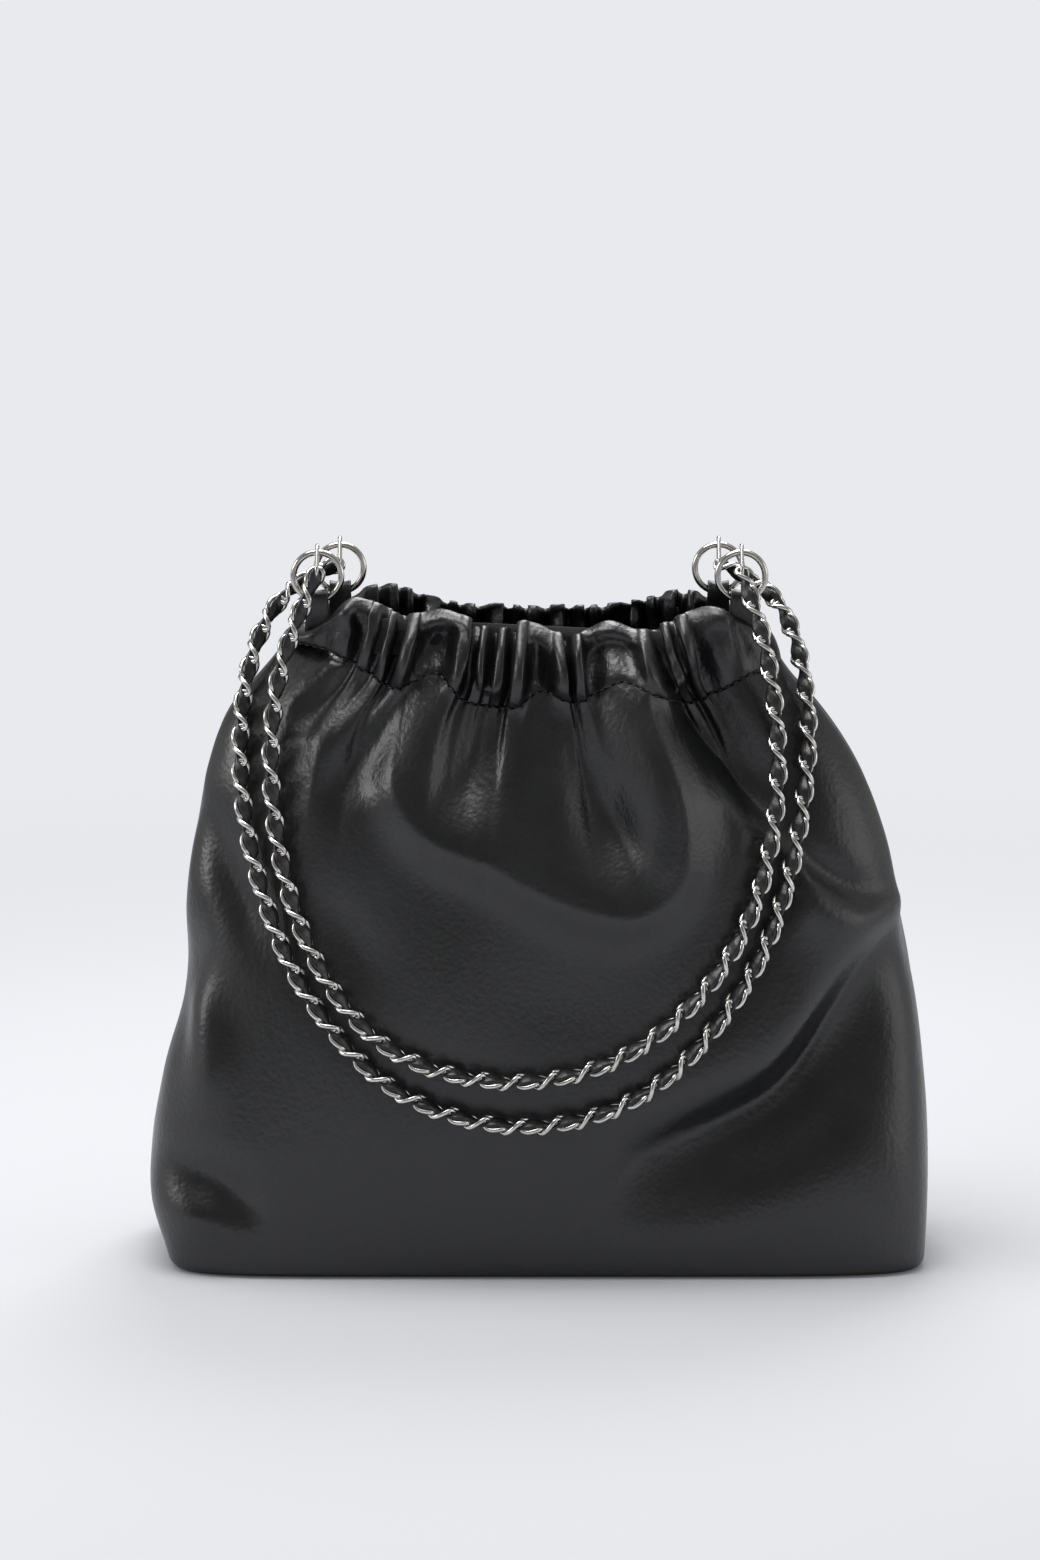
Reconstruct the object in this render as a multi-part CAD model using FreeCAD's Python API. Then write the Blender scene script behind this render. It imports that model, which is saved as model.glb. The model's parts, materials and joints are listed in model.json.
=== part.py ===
import FreeCAD
import Part
import math
import os

# Chain shoulder bag: a soft leather pouch with a gathered top and two chain straps.
# Millimetres. The origin is the middle of the base, +Z is up and the front faces -Y.

# Driving sizes of the leather body
bag_width = 350.0
bag_depth = 128.0
body_height = 253.0
leather_wall = 1.6
lining_wall = 0.8
lining_gap = 0.4
board_wall = 2.4
board_gap = 1.0
pleat_depth = 7.0

# Driving sizes of the gathered casing above the stitched line
casing_height = 35.0
casing_wall = 6.0
end_fold = 30.0
elastic_width = 20.0
elastic_wall = 2.0
elastic_span = 144.0
channel_gap = 0.4
channel_inset = 1.6
channel_lift = 6.0

# Driving sizes of the four tabs, their rings and the end links of the chains
tab_width = 8.0
tab_wall = 1.5
tab_rise = 12.4
tab_tail = 5.0
tab_gap = 0.3
tab_spread = 28.0
front_tab_inset = 13.0
back_tab_inset = 22.0
ring_wire = 2.8
ring_diameter = 21.2
ring_play = 1.3
link_wire = 1.8
link_straight = 9.0
link_play = 0.8
link_lean = 35.0

# Driving size of the two woven chain straps
strap_diameter = 8.0

# One overrun serves all cuts
overrun = 2.0

# The side view of the body, from the floor to the stitched line, as shares of its
# height, of half its width to the left and to the right, and of half its depth
body_height_shares = (0.0, 0.15, 0.33, 0.50, 0.65, 0.78, 0.89, 1.0)
left_shares = (0.965, 1.0, 0.97, 0.935, 0.91, 0.88, 0.845, 0.785)
right_shares = (0.975, 1.0, 0.99, 0.96, 0.92, 0.87, 0.805, 0.70)
depth_shares = (0.90, 0.97, 1.0, 1.0, 0.95, 0.89, 0.82, 0.70)

# The same for the casing, which carries on from the last row of the body
casing_height_shares = (0.0, 0.35, 0.65, 1.0)
casing_left_shares = left_shares[-1:] + (0.73, 0.68, 0.64)
casing_right_shares = right_shares[-1:] + (0.655, 0.615, 0.585)
casing_depth_shares = depth_shares[-1:] + (0.64, 0.59, 0.56)
fold_shares = (0.30, 0.60, 0.85, 1.0)

# How deep the pleats are at each row, how far apart they are as a share of the row's mean
# half width, and how many of them fit between the middle and the smooth end on each side
pleat_shares = (0.0, 0.0, 0.0, 0.0, 0.3, 0.8, 1.0, 0.9)
casing_pleat_shares = pleat_shares[-1:] + (0.8, 0.7, 0.6)
pleat_pitch_share = 0.36
pleats_per_side = 2.5

# How square the plan outline is at each row: 2 is an ellipse, more is boxier
body_squareness = (3.2, 3.2, 3.0, 2.8, 2.7, 2.6, 2.5, 2.4)
casing_squareness = body_squareness[-1:] + (2.3, 2.3, 2.3)
outline_steps = 48
loft_degree = 3

# An arc of a strap's tube takes this share of the shorter run beside it
arc_share = 0.45

# Routes of the straps between their end links, from the left to the right
front_route = (
    (-106.0, -25.0, 298.0),
    (-113.0, -30.0, 280.0),
    (-118.5, -34.0, 256.0),
    (-119.5, -43.5, 225.0),
    (-116.0, -51.5, 194.0),
    (-107.5, -58.5, 163.0),
    (-93.0, -64.5, 134.0),
    (-72.0, -68.5, 110.0),
    (-45.0, -70.0, 97.0),
    (-9.0, -70.5, 92.0),
    (27.0, -70.5, 99.0),
    (54.0, -69.5, 115.0),
    (77.0, -66.5, 138.0),
    (93.0, -61.0, 165.0),
    (101.5, -55.0, 194.0),
    (105.5, -46.0, 225.0),
    (104.0, -36.0, 256.0),
    (100.0, -30.5, 280.0),
    (95.0, -25.0, 298.0),
)
back_route = (
    (-105.0, 6.0, 308.0),
    (-118.0, 0.5, 298.0),
    (-127.0, -8.0, 282.0),
    (-132.5, -21.0, 260.0),
    (-133.5, -36.5, 228.0),
    (-129.0, -47.0, 196.0),
    (-120.5, -55.5, 168.0),
    (-109.0, -62.0, 140.0),
    (-91.0, -66.5, 114.0),
    (-69.5, -69.5, 92.0),
    (-43.0, -70.5, 78.5),
    (-9.0, -71.0, 72.0),
    (27.0, -71.0, 77.5),
    (56.5, -70.0, 94.0),
    (80.0, -67.5, 120.0),
    (98.5, -62.0, 149.0),
    (109.5, -55.5, 180.0),
    (116.0, -46.5, 212.0),
    (119.5, -33.0, 243.0),
    (117.5, -18.0, 268.0),
    (113.0, -6.0, 286.0),
    (106.0, 1.0, 299.0),
    (94.0, 6.0, 308.0),
)

# Sizes that follow from the driving sizes
half_width = bag_width / 2
half_depth = bag_depth / 2
rim_height = body_height + casing_height
lining_inset = leather_wall + lining_gap
lining_floor = leather_wall + board_wall
lining_start = lining_floor + lining_wall
channel_wall = elastic_wall + 2 * channel_gap
channel_floor = body_height + channel_lift
tab_axis_height = rim_height + tab_rise
tab_bore = ring_wire / 2 + ring_play
tab_crown = tab_bore + tab_wall
tab_shift = tab_spread / 2
ring_radius = ring_diameter / 2
ring_height = tab_axis_height + ring_radius
swing_height = ring_height + ring_radius
link_bend = ring_wire / 2 + link_play + link_wire / 2
rim_left = half_width * casing_left_shares[-1]
rim_right = half_width * casing_right_shares[-1]

across = FreeCAD.Vector(1, 0, 0)
forward = FreeCAD.Vector(0, -1, 0)
up = FreeCAD.Vector(0, 0, 1)


def rows_of(heights, squareness, shares):
    """Rows of a surface: height, left, right, depth, squareness, depth of the pleats and their pitch."""
    rows = []
    for z, sq, left, right, depth, pleat in zip(heights, squareness, *shares):
        pitch = pleat_pitch_share * half_width * (left + right) / 2
        sides = (half_width * left, half_width * right, half_depth * depth)
        rows.append((z, *sides, sq, pleat_depth * pleat, pitch))
    return rows


def body_rows(floor):
    """Rows of the body's outer surface from a floor height up."""
    heights = [body_height * share for share in body_height_shares]
    heights[0] = floor
    shares = (left_shares, right_shares, depth_shares, pleat_shares)
    return rows_of(heights, body_squareness, shares)


def casing_rows():
    """Rows of the casing's outer surface, from the stitched line to the rim."""
    heights = [body_height + casing_height * share for share in casing_height_shares]
    shares = (casing_left_shares, casing_right_shares, casing_depth_shares, casing_pleat_shares)
    return rows_of(heights, casing_squareness, shares)


def inset_rows(rows, inset):
    """The same rows, drawn in by one wall all round."""
    return [(z, left - inset, right - inset, depth - inset, *form) for z, left, right, depth, *form in rows]


def mouth_rows():
    """Rows of the mouth inside the casing, whose folded ends close towards the rim."""
    rows = []
    for (z, left, right, depth, *form), share in zip(casing_rows(), fold_shares):
        fold = end_fold * share
        rows.append((z, left - fold, right - fold, depth - casing_wall, *form))
    return rows


def hollow(x, pitch):
    """How deep a pleat is at a place across the bag: 0 on its crests, 1 in its hollows, less to the ends."""
    reach = pleats_per_side * pitch
    if abs(x) > reach:
        return 0
    return math.cos(math.pi * x / reach / 2) ** 2 * math.sin(math.pi * x / pitch) ** 2


def outline(row):
    """The plan outline of a row as one closed smooth wire that starts in the middle of the back."""
    z, left, right, depth, sq, pleat, pitch = row
    points = []
    for side in (1, -1):
        for step in range(outline_steps):
            place = side - 2 * side * step / outline_steps
            share = (place + math.sin(math.pi * place / 2)) / 2
            x = share * (right if share > 0 else left)
            y = depth * (1 - abs(share) ** sq) ** (1 / sq) - pleat * hollow(x, pitch)
            points.append(FreeCAD.Vector(x, side * y, z))
    seam = outline_steps // 2
    curve = Part.BSplineCurve()
    curve.interpolate(Points=points[seam:] + points[:seam], PeriodicFlag=True)
    return Part.Wire(curve.toShape())


def block(rows):
    """A smooth solid through the outlines of its rows."""
    return Part.makeLoft([outline(row) for row in rows], True, False, False, loft_degree)


def wall(outer, inner):
    """The wall between two sets of rows, all the way round."""
    return block(outer).cut(block(inner))


def floor_plate(floor, inset, wall):
    """A flat plate with the outline of the base, drawn in by an inset."""
    row = inset_rows(body_rows(floor), inset)[0]
    return Part.Face(outline(row)).extrude(up * wall)


def side_box(span, floor, height, side):
    """A box on one side of the middle plane, as wide as a span, to trim walls with."""
    box = Part.makeBox(span, bag_depth, height)
    start = 0 if side > 0 else -bag_depth
    box.translate(FreeCAD.Vector(-span / 2, start, floor))
    return box


def half(solid, side):
    """The front half (-1) or the back half (1) of a wall, parted at the side seams."""
    return solid.common(side_box(2 * bag_width, 0, 2 * rim_height, side))


def panel_wall():
    """The outer leather, from the base to the stitched line."""
    rows = body_rows(leather_wall)
    return wall(rows, inset_rows(rows, leather_wall))


def lining_walls():
    """The lining inside the leather, standing on the lining of the base."""
    rows = body_rows(lining_start)
    return wall(inset_rows(rows, lining_inset), inset_rows(rows, lining_inset + lining_wall))


def casing_band():
    """The gathered casing above the stitched line, round the mouth."""
    return wall(casing_rows(), mouth_rows())


def channel_band(gap):
    """The space of the elastic's channel, or with a gap the elastic that lies in it."""
    outer = inset_rows(casing_rows(), channel_inset + gap)
    inner = inset_rows(casing_rows(), channel_inset + channel_wall - gap)
    return wall(outer, inner)


def casing(band, channel, side):
    """One half of the casing, with its elastic channel and the slots of its tabs."""
    span = elastic_span + 2 * channel_gap
    trim = side_box(span, channel_floor, elastic_width + 2 * channel_gap, side)
    solid = half(band, side).cut(channel.common(trim))
    for x, y in tab_places.values():
        if y * side > 0:
            solid = solid.cut(tab_slot(x, y))
    return solid


def elastic(band, side):
    """The elastic that draws one half of the casing in, lying in its channel."""
    trim = side_box(elastic_span, channel_floor + channel_gap, elastic_width, side)
    return band.common(trim)


def tab_slot(x, y):
    """The slot in the rim that takes the tail of a tab."""
    wide = tab_width + 2 * tab_gap
    thick = 2 * tab_wall + 2 * tab_gap
    slot = Part.makeBox(wide, thick, tab_tail + overrun)
    slot.translate(FreeCAD.Vector(x - wide / 2, y - thick / 2, rim_height - tab_tail))
    return slot


def tab(x, y):
    """A leather strip folded round its ring, both layers of its tail sewn into the rim."""
    centre = FreeCAD.Vector(x - tab_width / 2, y, tab_axis_height)
    crown = Part.makeCylinder(tab_crown, tab_width, centre, across)
    bore = Part.makeCylinder(tab_bore, tab_width, centre, across)
    tail = Part.makeBox(tab_width, 2 * tab_wall, tab_tail + tab_rise)
    tail.translate(FreeCAD.Vector(x - tab_width / 2, y - tab_wall, rim_height - tab_tail))
    return crown.fuse(tail).cut(bore).removeSplitter()


def ring(x, y):
    """A round wire ring standing in its tab."""
    return Part.makeTorus(ring_radius, ring_wire / 2, FreeCAD.Vector(x, y, ring_height), forward)


def link_direction():
    """The way an end link hangs from the top of its ring: down and a little to the front."""
    lean = math.radians(link_lean)
    return forward * math.sin(lean) - up * math.cos(lean)


def link_foot(x, y):
    """The middle of an end link's lower bend, where the woven chain begins."""
    return FreeCAD.Vector(x, y, swing_height) + link_direction() * link_straight


def end_link(x, y):
    """A long wire link through the ring that carries one end of a chain."""
    top = FreeCAD.Vector(x, y, swing_height)
    foot = link_foot(x, y)
    along = link_direction()
    aside = across.cross(along) * link_bend
    crest = top - along * link_bend
    toe = foot + along * link_bend
    path = [
        Part.LineSegment(top + aside, foot + aside).toShape(),
        Part.Arc(foot + aside, toe, foot - aside).toShape(),
        Part.LineSegment(foot - aside, top - aside).toShape(),
        Part.Arc(top - aside, crest, top + aside).toShape(),
    ]
    section = Part.Wire(Part.makeCircle(link_wire / 2, top + aside, along))
    return Part.Wire(path).makePipeShell([section], True, False)


def strap_path(points):
    """Straight runs joined by tangent arcs, each as large as its two runs allow, and the arcs' radii."""
    edges = []
    radii = []
    last = points[0]
    for before, corner, after in zip(points, points[1:], points[2:]):
        coming = corner - before
        going = after - corner
        reach = arc_share * min(coming.Length, going.Length)
        half_turn = coming.getAngle(going) / 2
        radius = reach / math.tan(half_turn)
        coming.normalize()
        going.normalize()
        inwards = going - coming
        inwards.normalize()
        start = corner - coming * reach
        end = corner + going * reach
        middle = corner + inwards * (radius / math.cos(half_turn) - radius)
        edges.append(Part.LineSegment(last, start).toShape())
        edges.append(Part.Arc(start, middle, end).toShape())
        radii.append(radius)
        last = end
    edges.append(Part.LineSegment(last, points[-1]).toShape())
    return Part.Wire(edges), radii


def chain_strap(name, route, left, right):
    """The outer form of one woven chain, a round tube between its two end links."""
    points = [link_foot(*left)] + [FreeCAD.Vector(*point) for point in route] + [link_foot(*right)]
    path, radii = strap_path(points)
    section = Part.Wire(Part.makeCircle(strap_diameter / 2, points[0], points[1] - points[0]))
    solid = path.makePipeShell([section], True, False)
    area = math.pi * strap_diameter ** 2 / 4
    print(name, "length", round(path.Length, 1), "volume share", round(solid.Volume / (area * path.Length), 4))
    print(name, "radii", [round(radius, 1) for radius in radii])
    return solid


# Tabs stand in from the ends of the rim, the front ones before the middle plane
tab_places = {
    "front_left": (front_tab_inset - rim_left, -tab_shift),
    "front_right": (rim_right - front_tab_inset, -tab_shift),
    "back_left": (back_tab_inset - rim_left, tab_shift),
    "back_right": (rim_right - back_tab_inset, tab_shift),
}

nodes = {
    "base_panel": floor_plate(0, 0, leather_wall),
    "base_board": floor_plate(leather_wall, leather_wall + board_gap, board_wall),
    "base_lining": floor_plate(lining_floor, lining_inset, lining_wall),
}
leather = panel_wall()
cloth = lining_walls()
band = casing_band()
channel = channel_band(0)
stretch = channel_band(channel_gap)
for name, side in (("front", -1), ("back", 1)):
    nodes[name + "_panel"] = half(leather, side)
    nodes[name + "_lining"] = half(cloth, side)
    nodes[name + "_casing"] = casing(band, channel, side)
    nodes[name + "_elastic"] = elastic(stretch, side)
for name, place in tab_places.items():
    nodes["tab_" + name] = tab(*place)
    nodes["ring_" + name] = ring(*place)
    nodes["end_link_" + name] = end_link(*place)
for name, route in (("front", front_route), ("back", back_route)):
    ends = (tab_places[name + "_left"], tab_places[name + "_right"])
    nodes[name + "_chain_strap"] = chain_strap(name, route, *ends)

os.makedirs("parts", exist_ok=True)
for name, shape in nodes.items():
    print(name, len(shape.Solids), shape.isValid(), round(shape.Volume, 1))
    shape.exportStep("parts/" + name + ".step")
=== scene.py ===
import json
import logging
import math
from dataclasses import dataclass, field
from enum import Enum

import bpy
import numpy as np
from bpy.types import Material, Node, NodeSocket, NodeTree, Object
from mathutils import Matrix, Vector


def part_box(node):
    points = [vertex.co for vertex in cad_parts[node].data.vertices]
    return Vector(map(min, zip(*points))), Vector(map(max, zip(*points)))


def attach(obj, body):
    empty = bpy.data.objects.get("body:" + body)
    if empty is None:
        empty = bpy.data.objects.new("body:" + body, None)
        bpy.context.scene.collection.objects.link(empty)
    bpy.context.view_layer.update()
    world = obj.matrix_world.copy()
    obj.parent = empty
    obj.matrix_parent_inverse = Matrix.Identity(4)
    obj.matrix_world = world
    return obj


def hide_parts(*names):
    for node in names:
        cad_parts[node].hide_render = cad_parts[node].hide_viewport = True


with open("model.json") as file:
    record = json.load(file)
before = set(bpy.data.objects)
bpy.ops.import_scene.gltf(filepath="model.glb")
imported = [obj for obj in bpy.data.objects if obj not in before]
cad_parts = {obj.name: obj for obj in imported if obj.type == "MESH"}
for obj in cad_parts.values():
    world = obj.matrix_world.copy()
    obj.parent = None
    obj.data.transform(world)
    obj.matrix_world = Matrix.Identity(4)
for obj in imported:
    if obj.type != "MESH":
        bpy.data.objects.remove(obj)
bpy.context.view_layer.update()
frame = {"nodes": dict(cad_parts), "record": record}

logging.basicConfig(level=logging.INFO, format="%(message)s")
LOG = logging.getLogger("chain_shoulder_bag")
Array = np.ndarray
Row = tuple[float, ...]
Pair = tuple[float, float]
Pairs = tuple[Pair, ...]
Point = tuple[float, float, float]
MM = 0.001
FULL_TURN = 2.0 * np.pi


class Side(Enum):
    """The two faces of the bag, with the sign of Y that each looks to."""

    FRONT = -1.0
    BACK = 1.0

    @property
    def word(self) -> str:
        """The side as the pieces' names have it."""
        return self.name.lower()


class Slot(Enum):
    """The record's material slots, passed with each new piece and not read."""

    LEATHER = "black_leather"
    LINING = "lining_cloth"
    ELASTIC = "elastic"
    CHAIN = "chain_metal"


def smooth_step(low: float, high: float, value: Array) -> Array:
    """Rise from 0 at low to 1 at high, at each value, as 3t squared less 2t cubed."""
    t = np.clip((value - low) / (high - low), 0.0, 1.0)
    return t * t * (3.0 - 2.0 * t)


def through(knots: Array | Row, values: Array | Row, at: Array) -> Array:
    """Cubic Hermite curve through knots, with the slopes of their neighbours.

    Args:
        knots: rising places of the known values.
        values: the known values.
        at: the places to read.

    Returns:
        The curve's value at each place, held constant beyond the ends.
    """
    knots, values = np.asarray(knots, float), np.asarray(values, float)
    slopes = np.gradient(values, knots)
    at = np.clip(at, knots[0], knots[-1])
    i = np.clip(np.searchsorted(knots, at, side="right") - 1, 0, len(knots) - 2)
    span = knots[i + 1] - knots[i]
    t = (at - knots[i]) / span
    rise = smooth_step(0.0, 1.0, t)
    leave = t * (1.0 - t) ** 2 * span * slopes[i]
    arrive = t * t * (1.0 - t) * span * slopes[i + 1]
    return values[i] * (1.0 - rise) + values[i + 1] * rise + leave - arrive


def signed_power(value: Array, power: Array | float) -> Array:
    """Power of the value's size, with the value's own sign."""
    return np.sign(value) * np.abs(value) ** power


def unit(vectors: Array) -> Array:
    """Vectors of length 1 in the same directions."""
    return vectors / np.linalg.norm(vectors, axis=-1, keepdims=True)


def run_along(line: Array) -> Array:
    """Length along a line of points, 0 at its first point."""
    return np.concatenate([[0.0], np.cumsum(np.linalg.norm(np.diff(line, axis=0), axis=1))])


def read_along(at: Array, run: Array, known: Array) -> Array:
    """Points or directions known at the lengths in run, read between them at each length in at."""
    return np.stack([np.interp(at, run, known[:, k]) for k in range(3)], -1)


def full_circle(count: int) -> Array:
    """Angles of points spaced evenly round a circle."""
    return np.linspace(0.0, FULL_TURN, count, endpoint=False)


def carry(centre: Array, first: Array, second: Array, along_first: Array, along_second: Array) -> Array:
    """Carry a flat section along lines of centres: its points lie along the first and second direction."""
    return (centre[..., None, :] + first[..., None, :] * along_first[..., None]
            + second[..., None, :] * along_second[..., None])


def linear(code: str) -> tuple[float, float, float, float]:
    """Turn an sRGB hex colour of six digits into linear light with full alpha."""
    tone = np.array([*bytes.fromhex(code)]) / 255.0
    return (*np.where(tone <= 0.04045, tone / 12.92, ((tone + 0.055) / 1.055) ** 2.4).tolist(), 1.0)


def per_metre(size_mm: float) -> float:
    """Texture scale at which one pattern cell is size_mm wide on Object coordinates."""
    return 1.0 / (size_mm * MM)


def add(tree: NodeTree, kind: str, values: dict[str | int, object] | None = None,
        links: dict[str | int, Node | NodeSocket] | None = None,
        stops: tuple[tuple[float, Row], ...] = (), **settings: object) -> Node:
    """Add one node with its settings, socket values, links and, on a colour ramp, its stops.

    Args:
        tree: the node tree.
        kind: the node's type name, less its ShaderNode.
        values: socket name or index to value.
        links: socket name or index to the output that feeds it, or the node whose first output does.
        stops: place and colour of each stop of a colour ramp, two or more.
        **settings: the node's own properties.

    Returns:
        The new node.
    """
    item = tree.nodes.new("ShaderNode" + kind)
    for name, value in settings.items():
        setattr(item, name, value)
    for socket, value in (values or {}).items():
        item.inputs[socket].default_value = value
    for socket, source in (links or {}).items():
        output = source if isinstance(source, NodeSocket) else source.outputs[0]
        tree.links.new(output, item.inputs[socket])
    for i, (place, colour) in enumerate(stops):
        ramp = item.color_ramp.elements
        stop = ramp[i] if i < 2 else ramp.new(place)
        stop.position = place
        stop.color = colour
    return item


def bare_material(name: str) -> tuple[Material, NodeTree, NodeSocket]:
    """Make a node material that holds only the piece's own coordinates.

    Args:
        name: the material's name.

    Returns:
        The material, its tree and the coordinates.
    """
    material = bpy.data.materials.new(name)
    material.use_nodes = True
    tree = material.node_tree
    tree.nodes.clear()
    return material, tree, add(tree, "TexCoord").outputs["Object"]


@dataclass(frozen=True)
class NappaLeather:
    """Drum-dyed black nappa, pressed with a fine grain and waxed.

    It gives the eye a charcoal black with a soft broad shine, fine pebbles in
    the shine, and short crinkles where the hide is squeezed.
    """

    name: str = "black_nappa_leather"
    dark: str = "0a0b0c"
    pale: str = "111214"
    worn: str = "1a1b1d"
    roughness: Pair = (0.29, 0.41)
    refraction: float = 1.6
    grain_mm: float = 2.0
    grain_depth_mm: float = 0.45
    grain_strength: float = 0.32
    crinkle_mm: float = 3.4
    crinkle_depth_mm: float = 1.6
    crinkle_strength: Pair = (0.12, 0.40)
    crinkle_draw: float = 0.36
    cloud_mm: float = 46.0

    def make(self) -> Material:
        """Build the material: grain cells and crinkles as bump, clouds as colour and shine.

        Returns:
            The material.
        """
        material, tree, place = bare_material(self.name)
        squeeze = add(tree, "Attribute", attribute_name="squeeze").outputs["Fac"]
        cloud = add(tree, "TexNoise",
                    {"Scale": per_metre(self.cloud_mm), "Detail": 5.0, "Roughness": 0.6},
                    {"Vector": place})
        # The pressed grain is finer than a millimetre, and is drawn coarser so that it shows.
        grain = add(tree, "TexVoronoi", {"Scale": per_metre(self.grain_mm), "Randomness": 1.0},
                    {"Vector": place}, feature="SMOOTH_F1")
        bent = add(tree, "TexNoise",
                   {"Scale": per_metre(self.crinkle_mm * 2.0), "Detail": 2.0}, {"Vector": place})
        warp = add(tree, "VectorMath", {"Scale": self.crinkle_mm * MM * 1.5},
                   {0: bent.outputs["Color"]}, operation="SCALE")
        moved = add(tree, "VectorMath", links={0: place, 1: warp}, operation="ADD")
        # The crinkles are drawn out up the bag, along the gathers.
        drawn = add(tree, "Mapping", {"Scale": (1.0, 1.0, self.crinkle_draw)}, {"Vector": moved})
        crinkle = add(tree, "TexNoise",
                      {"Scale": per_metre(self.crinkle_mm), "Detail": 3.0, "Roughness": 0.55},
                      {"Vector": drawn})
        colour = add(tree, "ValToRGB", links={"Fac": cloud},
                     stops=((0.30, linear(self.dark)), (0.62, linear(self.pale)), (0.80, linear(self.worn))))
        shine = add(tree, "MapRange",
                    {"From Min": 0.3, "From Max": 0.7, "To Min": self.roughness[0],
                     "To Max": self.roughness[1]}, {"Value": cloud})
        pebbles = add(tree, "Bump",
                      {"Strength": self.grain_strength, "Distance": self.grain_depth_mm * MM},
                      {"Height": grain})
        depth = add(tree, "MapRange",
                    {"From Min": 0.05, "From Max": 1.0, "To Min": self.crinkle_strength[0],
                     "To Max": self.crinkle_strength[1]}, {"Value": squeeze})
        creases = add(tree, "Bump", {"Distance": self.crinkle_depth_mm * MM},
                      {"Height": crinkle, "Strength": depth, "Normal": pebbles})
        shader = add(tree, "BsdfPrincipled", {"IOR": self.refraction},
                     {"Base Color": colour, "Roughness": shine, "Normal": creases})
        add(tree, "OutputMaterial", links={"Surface": shader})
        return material


@dataclass(frozen=True)
class LiningCloth:
    """Plain-woven black cotton lining: a matte, slightly dusty black with a fine thread grid."""

    name: str = "black_cotton_lining"
    dark: str = "101113"
    pale: str = "202225"
    thread_mm: float = 1.2
    roughness: float = 0.86

    def make(self) -> Material:
        """Build the material: two crossed thread waves as bump and colour.

        Returns:
            The material.
        """
        material, tree, place = bare_material(self.name)
        # A wave texture runs through about two threads, over and under, at this scale.
        scale = per_metre(self.thread_mm) / 6.3
        waves = [add(tree, "TexWave", {"Scale": scale, "Distortion": 0.6, "Detail": 1.0},
                     {"Vector": place}, bands_direction=way) for way in ("X", "Z")]
        weave = add(tree, "Math", links={i: w.outputs["Fac"] for i, w in enumerate(waves)},
                    operation="MULTIPLY")
        colour = add(tree, "ValToRGB", links={"Fac": weave},
                     stops=((0.0, linear(self.dark)), (1.0, linear(self.pale))))
        bump = add(tree, "Bump", {"Strength": 0.4, "Distance": 0.3 * MM}, {"Height": weave})
        shader = add(tree, "BsdfPrincipled",
                     {"Roughness": self.roughness, "Sheen Weight": 0.2, "Sheen Roughness": 0.5},
                     {"Base Color": colour, "Normal": bump})
        add(tree, "OutputMaterial", links={"Surface": shader})
        return material


@dataclass(frozen=True)
class PlatedMetal:
    """Drawn steel wire, tumbled and plated: a bright mirror with faint drawing lines and handling haze."""

    name: str
    bright: str
    dull: str
    roughness: Pair
    haze_mm: float = 7.0
    line_mm: float = 0.9

    def make(self) -> Material:
        """Build the material: haze as colour and roughness, fine lines as a faint bump.

        Returns:
            The material.
        """
        material, tree, place = bare_material(self.name)
        haze = add(tree, "TexNoise",
                   {"Scale": per_metre(self.haze_mm), "Detail": 4.0, "Roughness": 0.65},
                   {"Vector": place})
        lines = add(tree, "TexNoise", {"Scale": per_metre(self.line_mm), "Detail": 2.0}, {"Vector": place})
        colour = add(tree, "ValToRGB", links={"Fac": haze},
                     stops=((0.35, linear(self.bright)), (0.75, linear(self.dull))))
        shine = add(tree, "MapRange",
                    {"From Min": 0.3, "From Max": 0.75, "To Min": self.roughness[0],
                     "To Max": self.roughness[1]}, {"Value": haze})
        bump = add(tree, "Bump", {"Strength": 0.05, "Distance": 0.1 * MM}, {"Height": lines})
        shader = add(tree, "BsdfPrincipled", {"Metallic": 1.0},
                     {"Base Color": colour, "Roughness": shine, "Normal": bump})
        add(tree, "OutputMaterial", links={"Surface": shader})
        return material


@dataclass(frozen=True)
class FibreStock:
    """Twisted or pressed fibre, as in thread, elastic and board: matte with short fibre streaks."""

    name: str
    dark: str
    pale: str
    fibre_mm: float
    roughness: float

    def make(self) -> Material:
        """Build the material: fibre noise as colour and bump.

        Returns:
            The material.
        """
        material, tree, place = bare_material(self.name)
        fibre = add(tree, "TexNoise", {"Scale": per_metre(self.fibre_mm), "Detail": 3.0}, {"Vector": place})
        colour = add(tree, "ValToRGB", links={"Fac": fibre},
                     stops=((0.3, linear(self.dark)), (0.7, linear(self.pale))))
        bump = add(tree, "Bump", {"Strength": 0.3, "Distance": 0.2 * MM}, {"Height": fibre})
        shader = add(tree, "BsdfPrincipled", {"Roughness": self.roughness},
                     {"Base Color": colour, "Normal": bump})
        add(tree, "OutputMaterial", links={"Surface": shader})
        return material


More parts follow.
